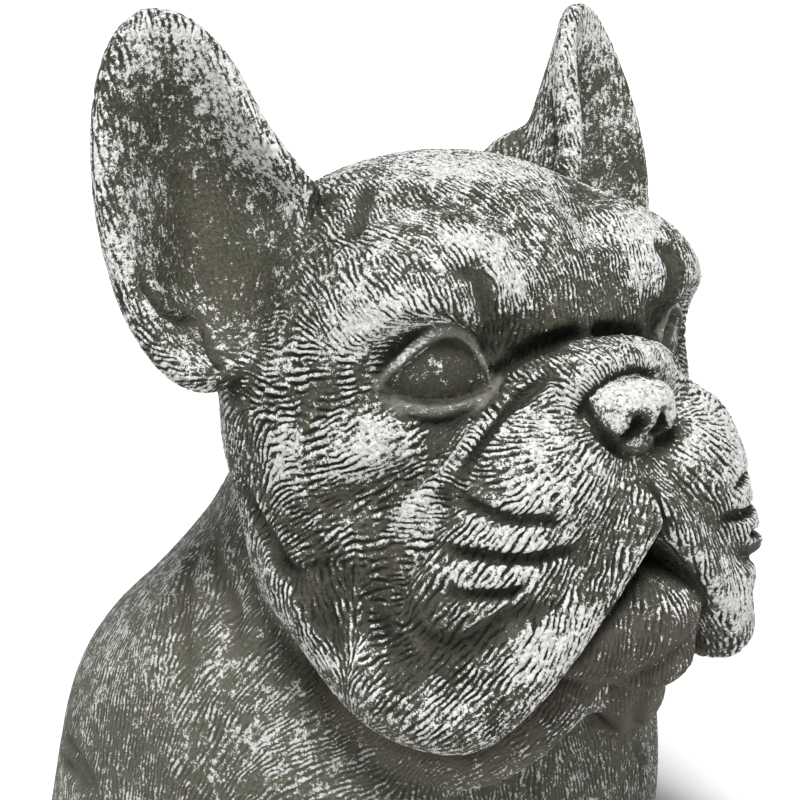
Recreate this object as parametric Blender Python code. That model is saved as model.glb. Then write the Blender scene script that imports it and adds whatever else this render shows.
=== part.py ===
"""Garden statue of a French bulldog, kept as a bust: head and upright ears, neck and shoulders, cut flat below.

Cast stone, one solid.  The form is a distance field built from rounded masses (skull, cheeks, muzzle, flews,
chin, neck, shoulders, ears), joined softly, with the folds of the face pressed in.  It is meshed on a grid,
thinned to a faceted solid and cut off flat.

Design frame, millimetres: x to the dog's left, f forward, z up, origin midway between the eyes.
The finished solid is in metres, facing -Y, its underside on z = 0, centred over the origin.
"""
import math

import bmesh
import bpy
import numpy as np

# ---- driving dimensions, mm ----
EYE_HEIGHT = 150.0                    # underside to the level of the eyes
SKULL = ((0, -46, 6), (64, 58, 46))   # centre, half sizes
BROW = ((33, -15, 14), (30, 26, 23))
CHEEK = ((42, -38, -20), (30, 40, 40))
JOWL = ((40, -34, -54), (28, 34, 32))
MUZZLE = ((22, 10, -34), (31, 29, 28))
FLEW = ((37, 8, -57), (23, 27, 26))
CHIN = ((0, 24, -69), (26, 20.5, 14.5))
CHIN_TOP = ((0, 20, -64), (20, 18, 12))
SCROLL = [(-6, 33, -79, 3.5), (0, 36.5, -81.5, 4.5), (8, 38, -81, 5), (15, 34, -78, 4.5), (19, 29, -73, 4)]
THROAT = ((0, -5, -90), (24, 20, 18))
SHOULDER = ((38, -82, -116), (50, 66, 50))
BODY = ((0, -88, -164), (96, 88, 82))
CHEST = ((0, -36, -130), (62, 39, 62))
NECK = [(0, -52, -20, 48), (0, -64, -60, 53), (0, -78, -100, 64)]            # x, f, z, radius
NOSE_ROLL = [(0, 19, -3, 8.5), (13, 19, -3.5, 8.5), (25, 14, -10, 8), (33, 9, -21, 7.5)]
LIP = [(3, 36, -40, 7), (13, 35, -50, 7.5), (27, 31, -64, 8.5), (40, 25, -77, 9.5),
       (48, 17, -84, 10.5), (55, 1, -82, 11), (59, -15, -73, 10), (63, -30, -59, 9)]
JAW = [(8, 24, -73, 9), (16, 18, -85, 10), (22, 8, -97, 10.5), (30, 0, -103, 11), (38, -10, -101, 11), (46, -24, -92, 11)]
NOSE_RIM = [(0, 26.5, 1, 4.4), (8, 26, 0, 4.4), (14.5, 23.5, -4.5, 4.2), (18.8, 19.5, -12, 3.8), (20, 18, -20, 3)]
NOSTRIL = [(4.3, 42, -14, 2.4), (4.5, 33, -14.6, 2.4), (7.2, 34.5, -17.6, 1.8), (10.5, 33.2, -19.6, 1.5),
           (13, 31.5, -19.4, 0.8)]
PHILTRUM = [(0, 36, -16, 0.6), (0, 34.6, -20, 0.7), (0, 34.5, -26, 0.8), (0, 41, -38, 1.0), (0, 43, -45, 1.4)]
HANG = 3.8                            # the lips hang this much lower on the dog's right, higher on its left
EYE_CENTRE, EYE_R, EYE_WIDTH = (34.6, -10.4, -1.1), 16.5, 28.4
EYEBALL = (15.4, 12.4, 12.0)          # half sizes: across, out, up
LID, LID_OUT = 1.8, 1.7               # the lids' half thickness, and how far they lie off the eye's sphere
EAR_CENTRE = (80.5, -58.2, 42.6)      # middle of the ear's opening
EAR_HALF, EAR_OUTER, EAR_INNER, EAR_DEPTH = 51.7, 23.4, 27.0, 25.5
EAR_WALL = 3.2                        # half of the wall at the tip
EAR_ROOT = ((60, -76, 24), (22, 19, 30))
GRID, TARGET = 2.4, 9300              # grid step and the number of facets aimed at

# ---- folds, laid out on a three-quarter drawing seen from VIEW_FROM mm ----
# depth, half width (mm), then stations in drawing steps (across, down); a step is VIEW_FROM / VIEW_SCALE mm
VIEW_TURN, VIEW_RISE, VIEW_FROM, VIEW_SCALE, VIEW_ORIGIN = 40.0, 10.0, 650.0, 2405.0, (554, 352)
FOLD_DEPTH = 1.5
FOLDS = [
    (2.0, 2.0, [(560, 372), (527, 394), (505, 418), (484, 444), (468, 466), (456, 485)]),              # edge of the muzzle
    (2.4, 2.6, [(497, 386), (510, 366), (532, 350), (562, 340), (598, 334), (630, 333), (646, 338)]),  # behind the nose roll
    (3.2, 4.5, [(462, 474), (436, 508), (418, 540), (403, 566), (393, 592), (391, 620)]),              # cheek beside the muzzle
    (-2.0, 4.0, [(512, 396), (490, 424), (466, 450), (440, 480), (414, 508), (396, 536)]),
    (2.2, 5.5, [(470, 430), (440, 458), (402, 480), (360, 494), (316, 504)]),                          # under the cheek bone
    (2.1, 1.8, [(456, 490), (466, 501), (486, 511), (506, 518), (526, 520), (547, 520), (562, 528)]),  # muzzle
    (2.1, 1.8, [(440, 546), (463, 553), (486, 556), (506, 559), (534, 558), (559, 551), (576, 549)]),
    (1.8, 1.8, [(445, 588), (460, 594), (486, 595), (509, 592), (530, 583)]),
    (2.4, 3.0, [(412, 618), (430, 638), (459, 643), (483, 636), (503, 620), (526, 612), (550, 607)]),
    (1.8, 2.4, [(249, 485), (257, 510), (276, 548), (301, 584), (319, 606), (333, 630), (346, 660)]),  # edge of the cheek
    (2.0, 5.5, [(318, 556), (324, 580), (334, 606)]),
    (1.3, 3.0, [(207, 532), (194, 558), (186, 598), (185, 628), (187, 658), (194, 690)]),              # neck
    (1.1, 2.6, [(214, 538), (219, 566), (232, 598), (238, 636), (241, 662)]),
    (-1.4, 4.5, [(176, 585), (160, 616), (153, 650), (152, 694)]),
    (1.6, 2.5, [(62, 728), (73, 748), (87, 770), (99, 795)]),                                          # shoulder
    (1.6, 2.5, [(62, 757), (78, 774), (92, 795)]),
    (1.8, 2.2, [(634, 690), (635, 716), (637, 748), (640, 786)]),                                      # chest
    (1.1, 2.6, [(371, 178), (366, 200), (361, 222), (354, 246)]),                                      # temple
    (2.6, 6.0, [(402, 186), (434, 197), (466, 202), (492, 209), (510, 224), (526, 242), (540, 262)]),  # over the brow
    (1.9, 2.6, [(456, 268), (468, 272), (480, 268), (480, 284), (486, 306), (494, 330)]),              # inside the brow
    (3.0, 5.0, [(500, 318), (503, 340), (498, 362)]),
    (2.6, 1.6, [(139, 276), (149, 296), (160, 312), (174, 321), (189, 323), (200, 321)]),              # pocket in the ear
    (2.0, 1.5, [(203, 326), (207, 344), (214, 360), (223, 374)]),
]


def unit(v):
    v = np.asarray(v, float)
    return v / np.linalg.norm(v)


EYE_OUT, EYE_SIDE = unit((0.61, 0.79, 0)), unit((0.79, -0.61, 0))
EAR_UP, EAR_SIDE, EAR_OPEN = unit((-0.03, -0.306, 0.952)), unit((0.93, -0.358, -0.086)), unit((0.367, 0.882, 0.295))


# ---- distance helpers ----
def join(a, b, k):
    h = np.clip(0.5 + 0.5 * (b - a) / k, 0, 1)
    return b * (1 - h) + a * h - k * h * (1 - h)


def cut(a, b, k):
    """a without b, the edge rounded by k"""
    return -join(-a, b, k)


def both(a, b, k):
    return -join(-a, -b, k)


def mass(p, centre, half, axes=None):
    q = p - np.asarray(centre, float)
    if axes is not None:
        q = q @ axes
    half = np.asarray(half, float)
    k0 = np.sqrt(((q / half) ** 2).sum(1))
    k1 = np.sqrt(((q / half**2) ** 2).sum(1))
    return k0 * (k0 - 1) / np.maximum(k1, 1e-6)


def smooth_line(points, n=4):
    p = np.asarray(points, float)
    q = np.vstack([2 * p[0] - p[1], p, 2 * p[-1] - p[-2]])
    out = []
    for a, b, c, d in zip(q, q[1:], q[2:], q[3:]):
        for t in np.arange(n) / n:
            out.append(0.5 * (2 * b + (c - a) * t + (2 * a - 5 * b + 4 * c - d) * t**2 + (3 * b - a - 3 * c + d) * t**3))
    return np.array(out + [p[-1]])


def roll(p, stations, n=4):
    """distance to a bent roll of changing radius"""
    s, best = smooth_line(stations, n), np.full(len(p), 1e9)
    for a, b in zip(s, s[1:]):
        ab = b[:3] - a[:3]
        t = np.clip((p - a[:3]) @ ab / (ab @ ab), 0, 1)
        best = np.minimum(best, np.sqrt(((p - a[:3] - t[:, None] * ab) ** 2).sum(1)) - (a[3] + (b[3] - a[3]) * t))
    return best


def ease(x):
    x = np.clip(x, 0, 1)
    return x * x * (3 - 2 * x)


def near(p, lo, hi, margin):
    return np.nonzero(((p > np.asarray(lo, float) - margin) & (p < np.asarray(hi, float) + margin)).all(1))[0]


def within(p, d, lo, hi, margin, change):
    i = near(p, lo, hi, margin)
    if len(i):
        d[i] = change(p[i], d[i])
    return d


# ---- ears ----
def ear_width(up):
    return EAR_INNER + 0.012 * np.clip(28 - up, 0, 30) ** 2


def ear_floor(up, side):
    """how far the ear's wall lies behind its rim: the cup is deepest towards the skull"""
    inner, up, side = ear_width(up), up * 1.06, side * 1.13
    h = np.sqrt(np.clip(1 - (up / EAR_HALF) ** 2, 0.02, 1))
    s = np.clip((side + inner * h) / ((inner + EAR_OUTER) * h), 0, 1)
    t = np.clip((up + EAR_HALF) / (2 * EAR_HALF), 0, 1)
    depth = EAR_DEPTH * np.sin(math.pi * t**0.8).clip(0, 1) ** 1.3
    return -depth * np.sin(math.pi * s**0.7).clip(0, 1) ** 1.4 - 0.003 * np.clip(22 - up, 0, 45) ** 2


def ear(p, d):
    q = p - np.array(EAR_CENTRE)
    side, up, w = q @ EAR_SIDE, q @ EAR_UP, q @ EAR_OPEN
    width = np.where(side > 0, EAR_OUTER, ear_width(up))
    k0 = np.sqrt((up / EAR_HALF) ** 2 + (side / width) ** 2)
    k1 = np.maximum(np.sqrt((up / EAR_HALF**2) ** 2 + (side / width**2) ** 2), 1e-6)
    wall = EAR_WALL + 1.4 * np.clip(-(up - 15) / 60, 0, 1)
    u = -k0 * (k0 - 1) / k1 - wall                      # how far in from the rim's centre line
    keep = np.minimum(1, (1 - wall * k1 / np.maximum(k0, 1e-6)) / np.maximum(k0, 1e-6)).clip(0, 1)
    s, t = side * keep, up * keep
    floor = ear_floor(t, s)
    ds, dt = (ear_floor(t, s + 0.5) - ear_floor(t, s - 0.5)), (ear_floor(t + 0.5, s) - ear_floor(t - 0.5, s))
    steep = 1 / np.sqrt(1 + np.minimum(ds * ds + dt * dt, 9))
    m = (ds * side / width**2 + dt * up / EAR_HALF**2) / k1   # how fast the wall drops inwards
    rel = w - floor - m * np.maximum(u, 0)
    sheet = np.where(u - rel * m < 0, np.hypot(u, rel), np.abs(w - floor + m * np.minimum(u, 0)) * steep) - wall
    # the cup is clear of the head
    cup = mass(np.stack([side, up, w], 1), (-5, -3, 2), (21, 41, 22))
    d = cut(join(d, mass(p, *EAR_ROOT), 12), both(cup, (ear_floor(up, side) - w) * steep, 3), 5)
    return join(d, sheet, 4)


# ---- eyes ----
def lid_edges(side):
    t = np.clip(side / EYE_WIDTH + 0.5, 0, 1)
    return -4.6 + 13.8 * np.sin(math.pi * t**0.74).clip(0, 1) ** 0.9, -4.6 - 3.0 * np.sin(math.pi * t).clip(0, 1)


def lid(upper):
    side = np.linspace(-0.5, 0.5, 11) * EYE_WIDTH
    v = lid_edges(side)[0] + 0.9 * LID if upper else lid_edges(side)[1] - 0.9 * LID
    out = np.sqrt(np.clip((EYE_R + LID_OUT) ** 2 - side**2 - v**2, 1, None))
    p = np.array(EYE_CENTRE) + np.outer(side, EYE_SIDE) + np.outer(out, EYE_OUT) + np.outer(v, (0, 0, 1))
    return np.column_stack([p, LID * (1 - 0.25 * np.abs(side / EYE_WIDTH * 2) ** 4)])


LIDS = (lid(True), lid(False))


def eye(p, d):
    q = p - np.array(EYE_CENTRE)
    axes = np.stack([EYE_SIDE, EYE_OUT, (0, 0, 1)], 1)
    side, out, v = (q @ axes).T
    d = cut(d, mass(q, 25.5 * EYE_OUT, (20, 16, 15), axes), 6)
    top, low = lid_edges(side)
    gap = np.maximum(np.maximum(v - top, low - v) * 0.8, np.abs(side) - EYE_WIDTH / 2)
    d = join(d, both(np.sqrt((q * q).sum(1)) - EYE_R - 1.4, 1.8 - gap, 1), 3)
    d = join(d, np.minimum(roll(p, LIDS[0], 2), roll(p, LIDS[1], 2)), 1.0)
    return join(d, mass(q, 4.5 * EYE_OUT, EYEBALL, axes), 0.3)


def nose(p, d):
    d = join(d, roll(p, NOSE_RIM, 3), 3)
    d = cut(d, mass(p, (0, 34, -12.5), (16, 9.5, 11.5)), 2)
    pad = join(mass(p, (0, 28.5, -9.6), (14.2, 9.5, 6.8)), mass(p, (8.3, 28.5, -13.8), (5.8, 7.5, 5.9)), 2)
    pad = join(pad, mass(p, (0, 32, -12), (3.4, 6, 6)), 2)
    d = join(d, join(pad, mass(p, (0, 27.5, -19.6), (8.8, 6.5, 6)), 1.0), 1.2)
    return cut(cut(d, roll(p, NOSTRIL, 3), 0.7), roll(p, PHILTRUM, 3), 1.0)


# ---- the whole form; a is the point folded to the dog's left, b to the right ----
def hang(p):
    w = np.clip((-p[:, 2] - 45) / 35, 0, 1) * np.clip((p[:, 2] + 128) / 24, 0, 1) * np.clip((p[:, 1] + 48) / 34, 0, 1)
    q = p.copy()
    q[:, 2] -= HANG * np.tanh(p[:, 0] / 16) * w
    return q


def form(p):
    p = hang(p)
    a = p.copy()
    a[:, 0] = np.abs(a[:, 0])
    b = a * (-1, 1, 1)

    def pair(m, k):
        return join(mass(a, *m), mass(b, *m), k)

    d = join(mass(p, *SKULL), pair(BROW, 14), 12)
    d = join(d, mass(a, *CHEEK), 14)
    d = join(d, mass(a, *JOWL), 12)
    d = join(d, join(pair(MUZZLE, 12), pair(FLEW, 10), 10), 9)
    d = within(a, d, (0, -32, -95), (66, 46, -30), 26, lambda q, e: join(e, roll(q, LIP), 9))
    # the mouth opens under the lips
    d = within(a, d, (0, 5, -104), (50, 60, -42), 10, lambda q, e: cut(
        e, both(q[:, 0] * 0.76 + (q[:, 2] + 43) * 0.66, 15 - q[:, 1] + 0.1 * np.abs(q[:, 2] + 60), 3), 5))
    n = join(roll(p, NECK), mass(a, *SHOULDER), 18)
    n = join(join(n, mass(p, *BODY), 20), mass(p, *CHEST), 18)
    d = join(d, n, 3.5)
    d = within(a, d, (0, -34, -116), (56, 34, -66), 14, lambda q, e: join(e, join(roll(q, JAW), mass(q, *THROAT), 8), 2.5))
    d = within(p, d, (-27, 0, -92), (27, 50, -50), 12, lambda q, e: join(
        e, join(join(mass(q, *CHIN), mass(q, *CHIN_TOP), 8), roll(q, SCROLL), 3), 1.5))
    d = within(a, d, (28, -110, -15), (108, -22, 98), 14, ear)
    d = within(a, d, (0, 2, -32), (42, 30, 6), 20, lambda q, e: join(e, roll(q, NOSE_ROLL), 4))
    c = np.array(EYE_CENTRE)
    d = within(a, d, c - EYE_R, c + EYE_R, 18, eye)
    return within(a, d, (0, 12, -46), (24, 46, 4), 7, nose)


# ---- folds ----
def fold_lines():
    """the drawing's stations, carried along the line of sight to the form"""
    th, ph = math.radians(VIEW_TURN), math.radians(VIEW_RISE)
    back = np.array([-math.sin(th) * math.cos(ph), math.cos(th) * math.cos(ph), math.sin(ph)])
    right = np.array([math.cos(th), math.sin(th), 0])
    up = np.cross(back, right)
    up = up * math.copysign(1, up[2])
    ox, oy = (400 - VIEW_ORIGIN[0]) / VIEW_SCALE, (VIEW_ORIGIN[1] - 400) / VIEW_SCALE
    start = VIEW_FROM * (right * ox + up * oy + back)
    xy = np.array([s for fold in FOLDS for s in fold[2]], float)
    way = right * (xy[:, :1] - 400) / VIEW_SCALE + up * (400 - xy[:, 1:]) / VIEW_SCALE - back
    way /= np.linalg.norm(way, axis=1)[:, None]
    t = np.full(len(xy), 430.0)
    for _ in range(70):
        t += np.clip(form(start + t[:, None] * way), -4, 14) * 0.7
    hit = hang(start + (t[:, None] + 0.8) * way)
    hit[:, 0] = np.abs(hit[:, 0])
    out, i = [], 0
    for depth, width, stations in FOLDS:
        out.append((depth, width, smooth_line(hit[i : i + len(stations)], 4)))
        i += len(stations)
    return out


LINES = fold_lines()


def press(p, line, width, bank=0.0):
    """1 along the line, falling off to its sides, with raised banks if asked"""
    best, at = np.full(len(p), 1e9), np.zeros(len(p))
    n = len(line) - 1
    for i in range(n):
        ab = line[i + 1] - line[i]
        t = np.clip((p - line[i]) @ ab / (ab @ ab), 0, 1)
        d = ((p - line[i] - t[:, None] * ab) ** 2).sum(1)
        m = d < best
        best[m], at[m] = d[m], (i + t[m]) / n
    end = np.clip(np.minimum(at, 1 - at) * 4.5, 0, 1)
    shape = np.exp(-best / width**2) - bank * np.exp(-best / (2.3 * width) ** 2)
    return shape * (0.12 + 0.88 * end * end * (3 - 2 * end))


def field(p):
    d = form(p)
    i = np.nonzero(np.abs(d) < 9)[0]
    if len(i):
        a, e = hang(p[i]), d[i]
        a[:, 0] = np.abs(a[:, 0])
        for depth, width, line in LINES:
            narrow = width < 4
            j = near(a, line.min(0), line.max(0), (4.2 if narrow else 2.3) * width)
            if len(j):
                e[j] += (2.0 if narrow else FOLD_DEPTH) * depth * press(a[j], line, width, 0.35 * narrow)
        d[i] = e
    return np.maximum(d, -EYE_HEIGHT - 7 - p[:, 2])


# ---- meshing: one vertex in each grid cell that the surface crosses ----
def grid_mesh(lo, hi, h, block=8):
    lo = np.asarray(lo, float)
    nb = np.ceil((np.asarray(hi) - lo) / h / block).astype(int)
    centres = [lo[i] + (np.arange(nb[i]) + 0.5) * block * h for i in range(3)]
    d = form(np.stack(np.meshgrid(*centres, indexing="ij"), -1).reshape(-1, 3))
    size = nb * block + 1
    v = np.repeat(np.repeat(np.repeat(np.where(d < 0, -50.0, 50.0).reshape(nb), block, 0), block, 1), block, 2)
    v = np.pad(v, ((0, 1), (0, 1), (0, 1)), mode="edge")
    ids = np.stack(np.unravel_index(np.nonzero(np.abs(d) < block * h * 1.2 + 4)[0], nb), -1)
    low = np.stack(np.unravel_index(np.arange(nb.prod()), nb), -1)
    zc = lo[2] + (low[:, 2] + 0.5) * block * h
    ids = np.vstack([ids, low[(np.abs(zc + EYE_HEIGHT + 7) < block * h) & (d < 0)]])
    mark = np.zeros(size, bool)
    for i in range(block + 1):
        for j in range(block + 1):
            for k in range(block + 1):
                mark[ids[:, 0] * block + i, ids[:, 1] * block + j, ids[:, 2] * block + k] = True
    g = np.stack(np.nonzero(mark), -1)
    v[g[:, 0], g[:, 1], g[:, 2]] = field(lo + g * h)
    corners = [(i, j, k) for i in (0, 1) for j in (0, 1) for k in (0, 1)]
    unpinch(v, size, corners)
    inside = v < 0
    count = np.zeros(size - 1, int)
    for i, j, k in corners:
        count += inside[i : size[0] - 1 + i, j : size[1] - 1 + j, k : size[2] - 1 + k]
    cells = np.stack(np.nonzero((count > 0) & (count < 8)), -1)
    index = np.full(size - 1, -1)
    index[tuple(cells.T)] = np.arange(len(cells))
    value = [v[cells[:, 0] + i, cells[:, 1] + j, cells[:, 2] + k] for i, j, k in corners]
    total, crossings = np.zeros((len(cells), 3)), np.zeros(len(cells))
    for m in range(8):
        for n in range(m + 1, 8):
            step = np.subtract(corners[n], corners[m])
            if abs(step).sum() == 1:
                hit = (value[m] < 0) != (value[n] < 0)
                t = np.where(hit, value[m] / np.where(hit, value[m] - value[n], 1), 0)
                total += (np.array(corners[m]) + t[:, None] * step) * hit[:, None]
                crossings += hit
    points = lo + (cells + total / crossings[:, None]) * h
    quads = []
    for axis in range(3):
        first = [slice(0, -1) if i == axis else slice(None) for i in range(3)]
        last = [slice(1, None) if i == axis else slice(None) for i in range(3)]
        edge = np.stack(np.nonzero(inside[tuple(first)] != inside[tuple(last)]), -1)
        u, w = (axis + 1) % 3, (axis + 2) % 3
        keep = (edge[:, u] > 0) & (edge[:, w] > 0) & (edge[:, u] < size[u] - 1) & (edge[:, w] < size[w] - 1)
        edge = edge[keep]
        ring = []
        for du, dw in ((-1, -1), (0, -1), (0, 0), (-1, 0)):
            cell = edge.copy()
            cell[:, u] += du
            cell[:, w] += dw
            ring.append(index[tuple(cell.T)])
        ring = np.stack(ring, -1)
        quads.append(np.where(inside[tuple(first)][tuple(edge.T)][:, None], ring, ring[:, ::-1]))
    return points, np.vstack(quads)


def one_patch(bits, corners):
    """whether the set corners of a cell hang together along its edges"""
    left = [c for n, c in enumerate(corners) if bits >> n & 1]
    if not left:
        return True
    reach = [left.pop()]
    for c in reach:
        for other in left[:]:
            if abs(np.subtract(c, other)).sum() == 1:
                reach.append(other)
                left.remove(other)
    return not left


def unpinch(v, size, corners):
    """fill cells in which the surface would touch itself at a point or along an edge"""
    bad = np.array([not (one_patch(n, corners) and one_patch(255 - n, corners)) for n in range(256)])
    for _ in range(40):
        bits = np.zeros(size - 1, int)
        for n, (i, j, k) in enumerate(corners):
            bits += (v[i : size[0] - 1 + i, j : size[1] - 1 + j, k : size[2] - 1 + k] < 0).astype(int) << n
        cells = np.stack(np.nonzero(bad[bits]), -1)
        if not len(cells):
            return
        for cell in cells:
            free = [tuple(cell + c) for c in corners if v[tuple(cell + c)] >= 0]
            if free:
                v[min(free, key=lambda g: v[g])] = -1e-3


def build():
    for old in list(bpy.data.objects):
        bpy.data.objects.remove(old, do_unlink=True)
    points, quads = grid_mesh((-114, -192, -EYE_HEIGHT - 16), (114, 74, 108), GRID)
    mesh = bpy.data.meshes.new("bulldog_bust")
    mesh.from_pydata((points * (1, -1, 1) + (0, 0, EYE_HEIGHT)).tolist(), [], quads[:, ::-1].tolist())
    bust = bpy.data.objects.new("bulldog_bust", mesh)
    bpy.context.scene.collection.objects.link(bust)

    # thin the grid mesh to facets, then cut the bust off flat
    thin = bust.modifiers.new("Facets", "DECIMATE")
    thin.ratio = TARGET / (2 * len(quads))
    thin.use_collapse_triangulate = True
    view = bpy.context.evaluated_depsgraph_get()
    work = bmesh.new()
    work.from_mesh(bust.evaluated_get(view).to_mesh())
    bust.evaluated_get(view).to_mesh_clear()
    bust.modifiers.clear()
    bmesh.ops.bisect_plane(work, geom=work.verts[:] + work.edges[:] + work.faces[:], dist=1e-4,
                           plane_co=(0, 0, 0), plane_no=(0, 0, -1), clear_outer=True)
    rim = [e for e in work.edges if e.is_boundary]
    bmesh.ops.holes_fill(work, edges=rim, sides=0)
    bmesh.ops.triangulate(work, faces=[f for f in work.faces if len(f.verts) > 3])
    bmesh.ops.recalc_face_normals(work, faces=work.faces[:])
    co = np.array([v.co for v in work.verts])
    middle = (co.min(0) + co.max(0)) / 2
    for v in work.verts:
        flat = abs(v.co.z) < 1e-3
        v.co = ((v.co.x - middle[0]) / 1000, (v.co.y - middle[1]) / 1000, 0.0 if flat else v.co.z / 1000)
    work.to_mesh(mesh)
    work.free()
    mesh.update()

    stone = bpy.data.materials.new("cast_stone")
    stone.use_nodes = True
    shader = stone.node_tree.nodes["Principled BSDF"]
    shader.inputs["Base Color"].default_value = (0.19, 0.19, 0.165, 1)
    shader.inputs["Roughness"].default_value = 0.85
    shader.inputs["Metallic"].default_value = 0.0
    mesh.materials.clear()
    mesh.materials.append(stone)
    print("bulldog_bust", len(mesh.polygons), "facets, moved by", -middle)


build()
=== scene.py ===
import math

import bpy
import numpy as np
from mathutils import Matrix, Vector

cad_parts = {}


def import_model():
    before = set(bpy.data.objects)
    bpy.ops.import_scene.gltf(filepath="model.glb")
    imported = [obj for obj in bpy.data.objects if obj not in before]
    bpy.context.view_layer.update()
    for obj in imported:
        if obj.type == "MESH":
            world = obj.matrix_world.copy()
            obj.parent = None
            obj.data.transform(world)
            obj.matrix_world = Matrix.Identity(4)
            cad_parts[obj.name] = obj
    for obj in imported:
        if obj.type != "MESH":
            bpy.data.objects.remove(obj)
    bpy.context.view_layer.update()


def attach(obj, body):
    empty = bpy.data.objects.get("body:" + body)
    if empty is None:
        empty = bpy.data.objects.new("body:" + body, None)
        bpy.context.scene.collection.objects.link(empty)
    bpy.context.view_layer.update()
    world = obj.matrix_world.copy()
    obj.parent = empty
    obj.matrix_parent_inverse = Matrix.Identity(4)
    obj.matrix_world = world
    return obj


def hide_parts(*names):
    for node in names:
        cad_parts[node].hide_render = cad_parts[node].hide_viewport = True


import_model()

GRID, TARGET = ((1.15, 198000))

# The bust is shaped in a head frame, in mm: x to the dog's left, f forward, z up, the origin between
# the eyes. It is the same form as the CAD's, on a finer grid, with the fur carved into it.

# ---- driving dimensions, mm ----
EYE_HEIGHT = 150.0                    # underside to the level of the eyes
SKULL = ((0, -46, 6), (64, 58, 46))   # centre, half sizes
BROW = ((33, -15, 14), (30, 26, 23))
CHEEK = ((42, -38, -20), (30, 40, 40))
JOWL = ((40, -34, -54), (28, 34, 32))
MUZZLE = ((22, 10, -34), (31, 29, 28))
FLEW = ((37, 8, -57), (23, 27, 26))
CHIN = ((0, 24, -69), (26, 20.5, 14.5))
CHIN_TOP = ((0, 20, -64), (20, 18, 12))
SCROLL = [(-6, 33, -79, 3.5), (0, 36.5, -81.5, 4.5), (8, 38, -81, 5), (15, 34, -78, 4.5), (19, 29, -73, 4)]
THROAT = ((0, -5, -90), (24, 20, 18))
SHOULDER = ((38, -82, -116), (50, 66, 50))
BODY = ((0, -88, -164), (96, 88, 82))
CHEST = ((0, -36, -130), (62, 39, 62))
NECK = [(0, -52, -20, 48), (0, -64, -60, 53), (0, -78, -100, 64)]            # x, f, z, radius
NOSE_ROLL = [(0, 19, -3, 8.5), (13, 19, -3.5, 8.5), (25, 14, -10, 8), (33, 9, -21, 7.5)]
LIP = [(3, 36, -40, 7), (13, 35, -50, 7.5), (27, 31, -64, 8.5), (40, 25, -77, 9.5),
       (48, 17, -84, 10.5), (55, 1, -82, 11), (59, -15, -73, 10), (63, -30, -59, 9)]
JAW = [(8, 24, -73, 9), (16, 18, -85, 10), (22, 8, -97, 10.5), (30, 0, -103, 11), (38, -10, -101, 11), (46, -24, -92, 11)]
NOSE_RIM = [(0, 26.5, 1, 4.4), (8, 26, 0, 4.4), (14.5, 23.5, -4.5, 4.2), (18.8, 19.5, -12, 3.8), (20, 18, -20, 3)]
NOSTRIL = [(4.3, 42, -14, 2.4), (4.5, 33, -14.6, 2.4), (7.2, 34.5, -17.6, 1.8), (10.5, 33.2, -19.6, 1.5),
           (13, 31.5, -19.4, 0.8)]
PHILTRUM = [(0, 36, -16, 0.6), (0, 34.6, -20, 0.7), (0, 34.5, -26, 0.8), (0, 41, -38, 1.0), (0, 43, -45, 1.4)]
HANG = 3.8                            # the lips hang this much lower on the dog's right, higher on its left
EYE_CENTRE, EYE_R, EYE_WIDTH = (34.6, -10.4, -1.1), 16.5, 28.4
EYEBALL = (15.4, 12.4, 12.0)          # half sizes: across, out, up
LID, LID_OUT = 1.8, 1.7               # the lids' half thickness, and how far they lie off the eye's sphere
EAR_CENTRE = (80.5, -58.2, 42.6)      # middle of the ear's opening
EAR_HALF, EAR_OUTER, EAR_INNER, EAR_DEPTH = 51.7, 23.4, 27.0, 25.5
EAR_WALL = 3.2                        # half of the wall at the tip
EAR_ROOT = ((60, -76, 24), (22, 19, 30))

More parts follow.
